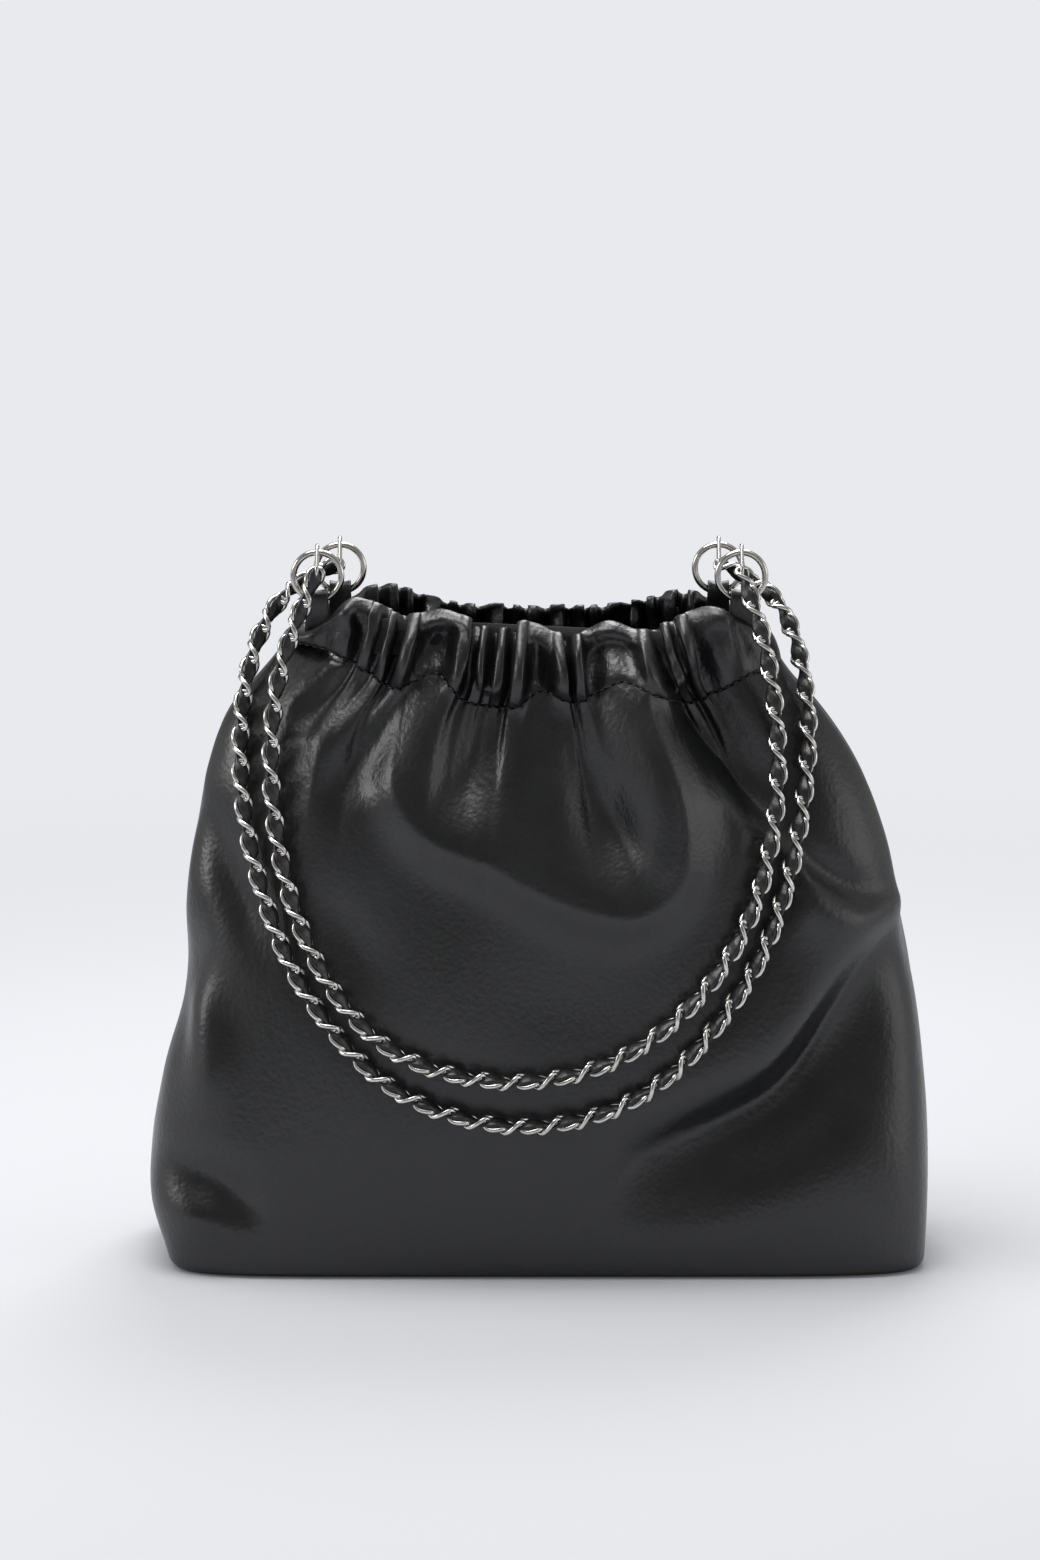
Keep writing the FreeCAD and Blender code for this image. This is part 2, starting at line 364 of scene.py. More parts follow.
def grid_mesh(name: str, points: Array, round_columns: bool = True, round_rows: bool = False,
              pole: bool = False, flip: bool = False, marks: dict[str, Array] | None = None) -> Object:
    """Turn a grid of points in millimetres into a smooth mesh of quads at the origin.

    Args:
        name: the piece's name.
        points: rows by columns by 3, or copies by rows by columns by 3.
        round_columns: whether the last column joins the first.
        round_rows: whether the last row joins the first.
        pole: whether the first row is closed with triangles to its middle.
        flip: whether to turn the faces over.
        marks: point attributes, each with one value per grid point.

    Returns:
        The new object.
    """
    grid = points if points.ndim == 4 else points[None]
    copies, rows, columns = grid.shape[:3]
    index = np.arange(copies * rows * columns).reshape(copies, rows, columns)
    right = np.roll(index, -1, 2)
    quads = np.stack([index, right, np.roll(right, -1, 1), np.roll(index, -1, 1)], -1)
    quads = quads[:, :rows if round_rows else rows - 1, :columns if round_columns else columns - 1]
    faces = quads.reshape(-1, 4)
    vertices = grid.reshape(-1, 3)
    counts = np.full(len(faces), 4)
    loops = faces[:, ::-1].ravel() if flip else faces.ravel()
    if pole:
        fan = np.stack([right[0, 0], index[0, 0], np.full(columns, len(vertices))], -1)
        loops = np.concatenate([loops, (fan[:, ::-1] if flip else fan).ravel()])
        counts = np.concatenate([counts, np.full(columns, 3)])
        vertices = np.concatenate([vertices, vertices[index[0, 0]].mean(0)[None]])
    mesh = bpy.data.meshes.new(name)
    mesh.vertices.add(len(vertices))
    mesh.vertices.foreach_set("co", (vertices * MM).astype(np.float32).ravel())
    mesh.loops.add(len(loops))
    mesh.loops.foreach_set("vertex_index", loops.astype(np.int32))
    mesh.polygons.add(len(counts))
    starts = np.concatenate([[0], np.cumsum(counts)[:-1]])
    mesh.polygons.foreach_set("loop_start", starts.astype(np.int32))
    mesh.polygons.foreach_set("use_smooth", np.ones(len(counts), bool))
    for label, values in (marks or {}).items():
        flat = np.zeros(len(vertices), np.float32)
        flat[:values.size] = values.ravel()
        mesh.attributes.new(label, "FLOAT", "POINT").data.foreach_set("value", flat)
    mesh.update(calc_edges=True)
    mesh.validate()
    piece = bpy.data.objects.new(name, mesh)
    bpy.context.scene.collection.objects.link(piece)
    return piece


def dress(piece: Object, material: Material, body: str, slot: Slot, *nodes: str) -> None:
    """Give a piece its finish and body, and hide the CAD nodes that it stands for.

    Args:
        piece: the piece.
        material: its finish.
        body: the body that it rides on.
        slot: the record's material slot; not used.
        *nodes: the CAD nodes that it replaces.
    """
    piece.data.materials.append(material)
    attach(piece, body)
    if nodes:
        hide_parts(*nodes)
    LOG.info("%s: %d faces on %s", piece.name, len(piece.data.polygons), body)


@dataclass(frozen=True)
class Fold:
    """One drape of the leather: a path up the face, how far it stands proud, and its two flanks.

    The path is x and z in millimetres. The height is along the face's normal,
    near and far are the widths of its left and right flank, and ends are the
    shares of the height that are left where it starts and stops. It is at its
    full height between the shares fade_in and fade_out of the path, and beyond
    reach times its width it is too low to show.
    """

    path: Pairs
    height: float
    near: float
    far: float
    ends: Pair = (0.6, 0.0)
    fade_in: float = 0.35
    fade_out: float = 0.55
    reach: float = 2.6
    detail: int = 9

    def rise(self, x: Array, z: Array) -> Array:
        """Fourth root of the sum, along the path, of the fourth power of a bell of the distance.

        Along a straight path that is the bell itself, and in a bend the two
        arms run into each other without a crease.

        Args:
            x: the points' places across the bag.
            z: their heights.

        Returns:
            How far each point is moved out.
        """
        knots = np.array(self.path, float)
        steps = np.arange(len(knots), dtype=float)
        along = np.linspace(0.0, len(knots) - 1.0, self.detail * len(knots))
        line = np.stack([through(steps, knots[:, k], along) for k in (0, 1)], -1)
        run, middle = np.diff(line, axis=0), 0.5 * (line[1:] + line[:-1])
        length = np.hypot(run[:, 0], run[:, 1])
        place = (np.cumsum(length) - 0.5 * length) / length.sum()
        fade = self.ends[0] + (1.0 - self.ends[0]) * smooth_step(0.0, self.fade_in, place)
        fade = fade * (1.0 - (1.0 - self.ends[1]) * smooth_step(self.fade_out, 1.0, place))
        reach = self.reach * max(self.near, self.far)
        low, high = line.min(0) - reach, line.max(0) + reach
        inside = (x > low[0]) & (x < high[0]) & (z > low[1]) & (z < high[1])
        off_x, off_z = x[inside][:, None] - middle[:, 0], z[inside][:, None] - middle[:, 1]
        squared = off_x ** 2 + off_z ** 2
        # The side of the path, from -1 to 1, goes over smoothly at the path's own line.
        flank = (run[:, 0] * off_z - run[:, 1] * off_x) / (length * np.sqrt(squared + 1e-6))
        flank = 1.07 * flank / np.sqrt(flank ** 2 + 0.15)
        width = 0.5 * (self.near + self.far) + 0.5 * (self.near - self.far) * flank
        bells = fade ** 4 * np.exp(-4.0 * squared / width ** 2)
        bells = bells * length * 2.0 / (width * np.sqrt(np.pi))
        out = np.zeros(x.shape)
        out[inside] = self.height * bells.sum(1) ** 0.25
        return out


FRONT_FOLDS = (
    Fold(((-54, 273), (-59, 260), (-63, 238), (-62, 223), (-54, 208), (-39.5, 198.5), (-20, 191), (-1, 180),
          (18.5, 172), (38, 168.5), (52, 174), (61, 186), (62, 208), (57, 228), (48.7, 247.7), (39, 267)),
         8.5, 27, 13, (0.8, 0.8)),
    Fold(((-22.6, 256), (-29, 238), (-36, 216), (-34, 204)), -7.0, 13, 13),
    Fold(((11, 252), (15, 238), (22, 223), (35.4, 194), (43, 180)), -9.5, 11, 14, (0.8, 0.3)),
    Fold(((-3.3, 265), (4, 246), (13.6, 218), (23.3, 194)), 5.0, 13, 13),
    Fold(((40, 263), (50, 238), (54.7, 213), (52.3, 188.7)), 5.0, 12, 11, (0.8, 0.5)),
    Fold(((67, 253), (77, 240), (90, 225), (103, 209), (113, 196)), -17.0, 19, 8, (1.0, 0.1)),
    Fold(((100, 199), (110, 186), (125, 173), (142, 163), (159, 165)), 8.0, 6, 18, (0.1, 0.3)),
    Fold(((108, 196), (119, 185), (134, 174), (151, 168)), -5.5, 10, 7, (0.4, 0.2)),
    Fold(((-75.8, 263), (-88, 245), (-105, 226), (-113, 206), (-116, 190)), 6.5, 13, 15),
    Fold(((-66, 262), (-72, 247), (-82, 231), (-96, 213)), -9.0, 12, 13, (0.8, 0.0)),
    Fold(((-82, 267), (-95, 257), (-107, 247), (-117, 235)), -6.0, 8, 8, (0.7, 0.1)),
    Fold(((-100, 176), (-84, 150), (-70, 128)), -4.0, 14, 20, (0.2, 0.0)),
    Fold(((46, 54), (61, 61), (84, 70), (105, 81), (122, 97), (135, 117), (147, 137), (160, 152)),
         -19.0, 12, 27, (0.5, 0.25)),
    Fold(((70, 86), (96, 100), (112, 118), (124, 138), (137, 156)), 2.5, 24, 12, (0.1, 0.3)),
    Fold(((-150, 207), (-141, 184), (-129, 159), (-122, 138)), -5.5, 13, 9, (0.5, 0.0)),
    Fold(((-158, 140), (-151, 122), (-147, 100), (-149, 80), (-157, 62)), 5.5, 9, 12, (0.2, 0.0)),
    Fold(((-152, 160), (-159, 135), (-163, 108), (-164, 84)), -6.0, 9, 9, (0.2, 0.0)),
    Fold(((-167, 50), (-150, 46), (-136, 38), (-122, 22)), -6.0, 11, 12, (0.5, 0.0)),
    Fold(((-160, 30), (-152, 24), (-144, 18)), 4.5, 12, 14, (0.5, 0.3)),
    Fold(((-20, 132), (20, 124), (56, 134)), -3.0, 26, 24, (0.2, 0.0)),
    Fold(((-57, 270), (-56, 283), (-48, 294), (-37, 295.5), (-31, 288), (-33, 275), (-39, 265)),
         5.5, 4.5, 4.5, (0.4, 0.4)),
    Fold(((-10, 260), (-7.5, 276), (-1.5, 289), (5, 280), (9.5, 264)), 5.0, 4.2, 4.2, (0.4, 0.4)),
    Fold(((15, 262), (14, 277), (20, 287.5), (30, 290.5), (40, 286.5), (45.5, 277), (47, 262)),
         5.5, 4.5, 4.5, (0.4, 0.4)),
    Fold(((-24.6, 288), (-25, 272), (-20.5, 264), (-16.4, 271), (-15, 286)), 4.5, 3.4, 3.4, (0.5, 0.5)),
    Fold(((56.6, 290), (55.5, 273), (58.5, 263), (62.5, 272), (61, 288)), 5.0, 3.6, 3.6, (0.5, 0.5)),
    Fold(((-102, 282), (-91, 293), (-79, 299), (-70, 294), (-71, 278)), 3.5, 5.0, 5.0, (0.2, 0.4)),
    Fold(((67, 276), (70, 291), (79, 295), (93, 287)), 3.5, 5.0, 5.0, (0.4, 0.2)),
)
BACK_FOLDS = (
    Fold(((40, 271), (50, 254), (57, 232), (55, 214), (43, 200), (22, 193), (0, 184), (-22, 174), (-42, 172),
          (-56, 184), (-58, 208), (-52, 232), (-42, 256), (-36, 268)), 6.5, 13, 28, (0.8, 0.8)),
    Fold(((-64, 254), (-80, 228), (-100, 200), (-124, 178), (-152, 168)), 6.5, 20, 7, (0.6, 0.2)),
    Fold(((-74, 254), (-92, 230), (-112, 208)), -11.0, 12, 14, (0.8, 0.1)),
    Fold(((78, 262), (90, 240), (104, 216), (110, 190)), 6.0, 12, 12),
    Fold(((66, 258), (72, 234), (80, 206)), -8.0, 12, 12),
    Fold(((8, 258), (2, 232), (-8, 200)), -6.0, 14, 14),
    Fold(((-60, 56), (-104, 48), (-138, 80), (-162, 124)), -7.0, 12, 22, (0.2, 0.1)),
    Fold(((44, 66), (86, 46), (130, 58), (160, 96)), -5.0, 20, 12, (0.2, 0.1)),
    Fold(((128, 186), (142, 152), (158, 112)), 5.0, 12, 14, (0.3, 0.0)),
    Fold(((-40, 122), (0, 132), (44, 124)), -3.0, 26, 26, (0.2, 0.0)),
    Fold(((-58, 268), (-57, 285), (-48, 293), (-40, 286), (-38, 268)), 4.5, 4.2, 4.2, (0.5, 0.5)),
    Fold(((-28, 266), (-26, 281), (-18, 289), (-11, 282), (-9, 266)), 4.5, 4.0, 4.0, (0.5, 0.5)),
    Fold(((2, 266), (4, 281), (12, 288), (19, 281), (22, 266)), 4.5, 4.0, 4.0, (0.5, 0.5)),
    Fold(((34, 266), (36, 282), (43, 290), (50, 283), (52, 268)), 4.5, 4.2, 4.2, (0.5, 0.5)),
)
# Lines round the mouth: place across it, from -1 to 1, and height in millimetres.
FRONT_STITCHES = (
    (-1.0, 280), (-0.92, 281), (-0.81, 279), (-0.62, 270), (-0.48, 264), (-0.37, 271), (-0.26, 260),
    (-0.14, 256), (-0.06, 257), (0.0, 263), (0.11, 258), (0.23, 264), (0.31, 268), (0.44, 261), (0.52, 256),
    (0.67, 260), (0.81, 267), (0.95, 271), (1.0, 272),
)
BACK_STITCHES = (
    (-1.0, 279), (-0.8, 268), (-0.5, 256), (-0.3, 262), (-0.1, 257), (0.1, 263), (0.35, 256), (0.6, 260),
    (0.85, 267), (1.0, 272),
)
FRONT_RIM = (
    (-1.0, 286), (-0.93, 287), (-0.84, 294), (-0.73, 303), (-0.63, 300), (-0.56, 296), (-0.36, 299.5),
    (-0.23, 291.5), (-0.15, 290.5), (-0.01, 293.5), (0.09, 287), (0.29, 294.5), (0.47, 289), (0.57, 293),
    (0.74, 299), (0.86, 293), (0.95, 289), (1.0, 287),
)
BACK_RIM = (
    (-1.0, 286), (-0.93, 288), (-0.80, 296), (-0.66, 302), (-0.40, 294), (0.0, 291), (0.40, 293), (0.66, 299),
    (0.82, 295), (0.95, 288), (1.0, 287),
)


@dataclass
class BagForm:
    """The slouched form of the bag: outline tables by height, drapes and gathers.

    At each height the outline is a superellipse with its own left half width,
    right half width, half depth and squareness. Drapes and gathers move it
    along the outline's normal.
    """

    half_width: float = 175.0
    half_depth: float = 64.0
    heights: Row = (0.0, 38.0, 83.5, 126.5, 164.5, 197.3, 225.2, 253.0, 265.3, 275.8, 288.0)
    left: Row = (0.955, 1.01, 0.98, 0.94, 0.925, 0.90, 0.865, 0.795, 0.73, 0.68, 0.64)
    right: Row = (0.995, 1.005, 1.0, 0.985, 0.94, 0.895, 0.83, 0.72, 0.655, 0.615, 0.585)
    depth: Row = (0.90, 0.97, 1.0, 1.0, 0.95, 0.89, 0.82, 0.70, 0.64, 0.59, 0.56)
    square: Row = (7.0, 5.0, 3.6, 2.9, 2.7, 2.6, 2.5, 2.4, 2.3, 2.3, 2.3)
    front_crests: Row = (-1.0, -0.76, -0.645, -0.575, -0.50, -0.295, -0.215, -0.145, -0.08, 0.08, 0.148,
                         0.44, 0.545, 0.61, 0.78, 1.0)
    back_crests: Row = (-1.0, -0.76, -0.66, -0.57, -0.50, -0.39, -0.32, -0.24, -0.13, -0.06, 0.02, 0.13,
                        0.215, 0.28, 0.39, 0.47, 0.54, 0.64, 0.76, 1.0)
    mouth_share: float = 0.62
    gathers_end: Pair = (0.64, 0.92)
    wave_most: float = 12.0
    ruffle_share: float = 0.44
    stitch_pinch: float = 0.5
    front_pinch: float = 0.55
    back_pinch: float = 0.95
    overhang: float = 0.50
    drift: float = 0.8
    swell: float = 0.28
    lean: float = 0.9
    crest_lift: float = 2.2
    back_lift: float = -1.2
    flop: float = 1.2
    crumple: float = 0.6
    chain_lines: list[Array] = field(default_factory=list)
    chain_room: float = 5.6
    groove: float = 36.0
    press_softness: float = 2.0
    press_reach: float = 40.0
    press_step: int = 4
    middle_height: float = 200.0
    middle_samples: int = 4001
    side_blend: float = 0.35
    base_rise: Pair = (4.0, 34.0)
    seam_rise: Pair = (60.0, 150.0)
    seam_dip: float = 2.5
    seam_width: float = 0.30
    hollow_squeeze: float = 0.55
    stitch_squeeze: float = 0.4
    stitch_middle: float = 250.0
    stitch_reach: float = 26.0

    def columns(self, count: int) -> Array:
        """Outline angles spaced evenly along a middle outline, from the front's middle round by the right.

        Args:
            count: how many columns.

        Returns:
            The angles as one row.
        """
        dense = np.linspace(-0.5 * np.pi, 1.5 * np.pi, self.middle_samples)
        x, y, _, _ = self.outline(dense[None], np.full((1, 1), self.middle_height))
        run = run_along(np.stack([x[0], y[0]], -1))
        share = np.arange(count) / count
        return np.interp(share * run[-1], run, dense)[None]

    def outline(self, angle: Array, height: Array) -> tuple[Array, ...]:
        """Superellipse at each height: sign times power of cosine and sine, and its unit normal.

        Args:
            angle: outline angles.
            height: heights, which broadcast with the angles.

        Returns:
            x, y and the normal's x and y.
        """
        angle, height = np.broadcast_arrays(angle, height)
        c, s = np.cos(angle), np.sin(angle)
        a = self.half_width * np.where(c >= 0.0, through(self.heights, self.right, height),
                                       through(self.heights, self.left, height))
        b = self.half_depth * through(self.heights, self.depth, height)
        n = through(self.heights, self.square, height)
        share_x, share_y = signed_power(c, 2.0 / n), signed_power(s, 2.0 / n)
        way_x, way_y = signed_power(share_x, n - 1.0) / a, signed_power(share_y, n - 1.0) / b
        size = np.hypot(way_x, way_y)
        return a * share_x, b * share_y, way_x / size, way_y / size

    def share_across(self, angle: Array) -> Array:
        """Place across the mouth from -1 to 1, the same for a column at every height."""
        return signed_power(np.cos(angle), 2.0 / self.square[-1])

    def line_height(self, angle: Array, front: Pairs, back: Pairs) -> Array:
        """Height of a line round the mouth: a smooth curve through each face's own table."""
        heights = [through(*np.transpose(table), self.share_across(angle)) for table in (front, back)]
        return np.where(np.sin(angle) < 0.0, *heights)

    def stitch_height(self, angle: Array) -> Array:
        """Height of the row of stitches, which dips and lifts with the gathers."""
        return self.line_height(angle, FRONT_STITCHES, BACK_STITCHES)

    def rim_height(self, angle: Array) -> Array:
        """Height of the rim: low at the side seams, high at the smooth ears, lower along the gathers."""
        return self.line_height(angle, FRONT_RIM, BACK_RIM)

    def gather(self, angle: Array) -> tuple[Array, Array, Array]:
        """Wave of the gathers: a cosine whose crests lie at listed places.

        Args:
            angle: outline angles.

        Returns:
            The phase, the local wave length in millimetres, and the strength from 0 to 1.
        """
        share = self.share_across(angle)
        phase, wave = np.zeros_like(share), np.zeros_like(share)
        for side, places in ((Side.FRONT, self.front_crests), (Side.BACK, self.back_crests)):
            crests = np.array(places)
            here = np.sign(np.sin(angle)) == side.value
            width = np.gradient(crests) * self.half_width * self.mouth_share
            phase = np.where(here, FULL_TURN * through(crests, np.arange(len(crests)), share), phase)
            wave = np.where(here, through(crests, width, share), wave)
        return phase, np.minimum(wave, self.wave_most), 1.0 - smooth_step(*self.gathers_end, np.abs(share))

    def drape(self, x: Array, z: Array, facing: Array) -> Array:
        """Sum of the folds of the face that a point looks to, faded in above the base, and the seams' dip.

        Args:
            x: places across the bag.
            z: heights.
            facing: the outline normal's y, below zero on the front.

        Returns:
            How far each point stands out.
        """
        front = sum(fold.rise(x, z) for fold in FRONT_FOLDS)
        back = sum(fold.rise(x, z) for fold in BACK_FOLDS)
        blend = smooth_step(-self.side_blend, self.side_blend, facing)
        seam = -self.seam_dip * np.exp(-(facing / self.seam_width) ** 2) * smooth_step(*self.seam_rise, z)
        return (front * (1.0 - blend) + back * blend) * smooth_step(*self.base_rise, z) + seam

    def press(self, x: Array, y: Array, z: Array, inset: float) -> Array:
        """Keep the leather behind the hanging chains: y is at least the chain's y plus its room.

        Args:
            x: places across the bag.
            y: places front to back.
            z: heights.
            inset: how far inside the outer face the points lie.

        Returns:
            The new y, with a shallow groove along each chain.
        """
        here = y < 0.0
        for line in self.chain_lines:
            near = line[::self.press_step]
            run = np.diff(near, axis=0)
            best = ((x[here][:, None] - near[:, 0]) ** 2 + (z[here][:, None] - near[:, 2]) ** 2).argmin(1)
            gap, limit = np.full(len(best), np.inf), np.zeros(len(best))
            for step in (best - 1, best):
                step = np.clip(step, 0, len(run) - 1)
                off_x, off_z = x[here] - near[step, 0], z[here] - near[step, 2]
                size = run[step, 0] ** 2 + run[step, 2] ** 2
                share = np.clip((off_x * run[step, 0] + off_z * run[step, 2]) / size, 0.0, 1.0)
                away = (off_x - share * run[step, 0]) ** 2 + (off_z - share * run[step, 2]) ** 2
                limit = np.where(away < gap, near[step, 1] + share * run[step, 1], limit)
                gap = np.minimum(gap, away)
            over = limit + self.chain_room + inset - gap / self.groove - y[here]
            # A soft maximum of 0 and over, left out where the chain is far away.
            push = 0.5 * (over + np.sqrt(over ** 2 + self.press_softness ** 2))
            y[here] += push * (over > -self.press_reach)
        return y

    def surface(self, angle: Array, height: Array, inset: Array | float = 0.0,
                ruffle: Array | float = 1.0, share: Array | float = 0.0) -> tuple[Array, Array]:
        """Outline plus drapes plus gathers: the outer face of the leather.

        The gathers move a point out by the cosine of the phase and sideways by
        the sine of twice the phase, so that crests and hollows are broad loops.
        The phase is bent by its own sine, which pinches the hollows at the
        stitches and the crests at the rim, more so at the back, where the rim
        is seen from inside and its hollows stand higher. Sines of the crest's
        number, at rates that fit no other, keep any two folds from being alike.

        Args:
            angle: outline angles.
            height: heights.
            inset: how far inside the outer face to stay.
            ruffle: the share of the gathers that is left at each point.
            share: 0 at the stitches and 1 at the rim.

        Returns:
            The points, and how much the hide is squeezed at each.
        """
        angle, height = np.broadcast_arrays(angle, height)
        x, y, way_x, way_y = self.outline(angle, height)
        turn, wave, strength = self.gather(angle)
        amount = strength * ruffle
        upward = np.clip(share, 0.0, 1.0)
        back = np.sin(angle) > 0.0
        crest = turn / FULL_TURN
        phase = turn + self.drift * np.sin(2.1 * crest + 0.6) * (share - 0.4)
        pinch = np.where(back, self.back_pinch, self.front_pinch) * upward - self.stitch_pinch
        bent = phase + pinch * np.sin(phase)
        deep = wave * self.ruffle_share * (1.0 + self.swell * np.sin(1.7 * crest + 2.6 * share + 0.4))
        out = self.drape(x, height, way_y) - inset
        out = out + amount * deep * (np.cos(bent) - 0.1)
        out = out + amount * self.flop * share ** 2 * np.sin(1.9 * crest + 0.7) * (1.0 + np.cos(phase))
        out = out + amount * self.crumple * np.sin(2.3 * turn + 5.0 * share + 1.7 * np.sin(crest))
        aside = self.overhang * np.sin(2.0 * phase) + self.lean * np.sin(1.3 * crest + 2.0) * np.cos(phase)
        aside = -np.sign(np.sin(angle)) * amount * wave / FULL_TURN * aside
        lift = amount * upward * self.crest_lift * np.cos(bent) * (wave / self.wave_most) ** 2
        lift = np.where(back, self.back_lift, 1.0) * lift
        x, y = x + way_x * out - way_y * aside, y + way_y * out + way_x * aside
        points = np.stack([x, y, height + lift], -1)
        # The hide is squeezed in the hollows, and a little all along the stitches.
        squeeze = self.hollow_squeeze * amount * (1.0 - np.cos(phase))
        nearness = np.exp(-((height - self.stitch_middle) / self.stitch_reach) ** 2)
        squeeze = squeeze + self.stitch_squeeze * strength * nearness
        return points, np.clip(squeeze, 0.0, 1.0)


@dataclass
class LeatherBody:
    """The soft outer shell, from the middle of the base up to the stitches, and its lining."""

    form: BagForm
    leather: Material
    cloth: Material
    around: int = 560
    base_rows: int = 10
    base_hub: float = 0.06
    corner_rows: int = 9
    wall_rows: int = 112
    corner: float = 5.0
    crowding: float = 1.15
    gather_tails: Pairs = ((0.28, 12.0), (0.12, 50.0))
    lining_around: int = 260
    lining_rows: int = 56
    lining_inset: float = 4.2
    lining_lift: float = 3.6
    lining_foot: float = 12.0
    lining_thick: float = 0.7

    def grid(self, around: int, wall_rows: int, inset: float) -> tuple[Array, Array]:
        """Rows of the base, the rounded edge and the wall.

        The base is the edge outline shrunk towards its middle, the edge is a
        quarter circle, and the wall runs up to the stitch height of each
        column, with rows crowded towards the top and the gathers dying away
        below it.

        Args:
            around: how many columns.
            wall_rows: how many rows the wall has.
            inset: how far inside the outer face the rows lie.

        Returns:
            The points and how much the hide is squeezed.
        """
        form, angle = self.form, self.form.columns(around)
        turn = np.linspace(0.0, 0.5 * np.pi, self.corner_rows)[:, None]
        edge, _ = form.surface(angle, self.corner * (1.0 - np.cos(turn)),
                               inset + self.corner * (1.0 - np.sin(turn)), 0.0)
        shrink = np.linspace(self.base_hub, 1.0, self.base_rows, endpoint=False)[:, None, None]
        base = edge[:1] * np.where(np.arange(3) < 2, shrink, 1.0)
        share = np.linspace(0.0, 1.0, wall_rows + 1)[1:, None]
        top = form.stitch_height(angle)
        height = self.corner + (top - self.corner) * (1.0 - (1.0 - share) ** self.crowding)
        ruffle = sum(part * np.exp((height - top) / reach) for part, reach in self.gather_tails)
        wall, squeeze = form.surface(angle, height, inset, ruffle)
        wall[..., 1] = form.press(wall[..., 0], wall[..., 1], wall[..., 2], inset)
        points = np.concatenate([base, edge, wall])
        points[..., 2] += inset * (points[..., 2] < self.corner)
        return points, np.concatenate([np.zeros((len(base) + len(edge), around)), squeeze])

    def build(self) -> None:
        """Build the shell and let it stand for the panels."""
        points, squeeze = self.grid(self.around, self.wall_rows, 0.0)
        piece = grid_mesh("leather_body", points, pole=True, marks={"squeeze": squeeze})
        dress(piece, self.leather, "bag", Slot.LEATHER, "front_panel", "back_panel", "base_panel")

    def build_lining(self) -> None:
        """Build the cloth lining inside the shell, facing inwards, with its floor above the board."""
        points, _ = self.grid(self.lining_around, self.lining_rows, self.lining_inset)
        points[..., 2] += self.lining_lift * (points[..., 2] < self.lining_foot)
        piece = grid_mesh("cloth_lining", points, pole=True, flip=True)
        wall = piece.modifiers.new("cloth", "SOLIDIFY")
        wall.thickness = self.lining_thick * MM
        wall.offset = -1.0
        dress(piece, self.cloth, "bag", Slot.LINING, "front_lining", "back_lining", "base_lining")


@dataclass
class GatheredCasing:
    """The ruffled channel round the mouth, a closed tube of leather with an elastic in it."""

    form: BagForm
    leather: Material
    webbing: Material
    around: int = 1000
    outer_rows: int = 26
    top_rows: int = 13
    inner_rows: int = 16
    thick: float = 8.5
    bulge: float = 2.2
    roll_share: float = 0.27
    foot_share: float = 0.06
    foot_thick: float = 3.0
    stitch_reach: float = 0.05
    ruffle_rows: Row = (0.0, 0.3, 0.6, 1.0)
    ruffle_left: Row = (0.4, 1.0, 1.05, 0.55)
    back_ruffle: float = 0.25
    elastic_around: int = 1200
    elastic_end: float = 0.64
    elastic_rows: Row = (0.28, 0.45, 0.62, 0.78)
    elastic_faces: Pair = (2.2, 3.8)

    def ring(self, angle: Array, share: Array, inward: Array) -> tuple[Array, Array]:
        """One row of the channel: a share of the way from the stitches to the rim, and a depth inwards.

        Args:
            angle: outline angles.
            share: 0 at the stitches and 1 at the rim.
            inward: how far inside the outer face.

        Returns:
            The points and how much the hide is squeezed.
        """
        low, high = self.form.stitch_height(angle), self.form.rim_height(angle)
        height = low + (high - low) * share
        ruffle = through(self.ruffle_rows, self.ruffle_left, share)
        ruffle = ruffle + self.back_ruffle * (np.sin(angle) > 0.0) * share ** 2
        puff = self.bulge * np.sin(np.pi * np.clip(share, 0.0, 1.0))
        return self.form.surface(angle, height, inward - puff, ruffle, share)

    def build(self) -> None:
        """Build the tube: outer wall up, a round fold over the rim, inner wall down."""
        angle = self.form.columns(self.around)
        brim = 1.0 - self.roll_share
        up = np.linspace(0.0, brim, self.outer_rows)
        over = np.linspace(0.0, np.pi, self.top_rows + 2)[1:-1]
        down = np.linspace(brim, self.foot_share, self.inner_rows)
        share = np.concatenate([up, brim + self.roll_share * np.sin(over), down])[:, None]
        inner = np.interp(down, (self.foot_share, 0.5, brim), (self.foot_thick, self.thick, self.thick))
        inward = np.concatenate([np.zeros(len(up)), 0.5 * self.thick * (1.0 - np.cos(over)), inner])[:, None]
        # The row of stitches draws the foot of the channel in by a millimetre.
        inward = inward + np.exp(-share / self.stitch_reach)
        points, squeeze = self.ring(angle, share, inward)
        piece = grid_mesh("gathered_casing", points, round_rows=True, marks={"squeeze": squeeze})
        dress(piece, self.leather, "bag", Slot.LEATHER, "front_casing", "back_casing")

    def build_elastic(self, side: Side) -> None:
        """Build one flat elastic inside the channel, waved with the gathers.

        Args:
            side: the front or the back.
        """
        angle = self.form.columns(self.elastic_around)
        inside = np.abs(self.form.share_across(angle)) < self.elastic_end
        angle = np.sort(angle[(np.sign(np.sin(angle)) == side.value) & inside][None])
        rows = np.array(self.elastic_rows + self.elastic_rows[::-1])[:, None]
        inward = np.repeat(self.elastic_faces, len(self.elastic_rows))[:, None]
        points, _ = self.ring(angle, rows, inward)
        piece = grid_mesh(f"{side.word}_elastic_band", points, round_columns=False, round_rows=True)
        dress(piece, self.webbing, "bag", Slot.ELASTIC, f"{side.word}_elastic")


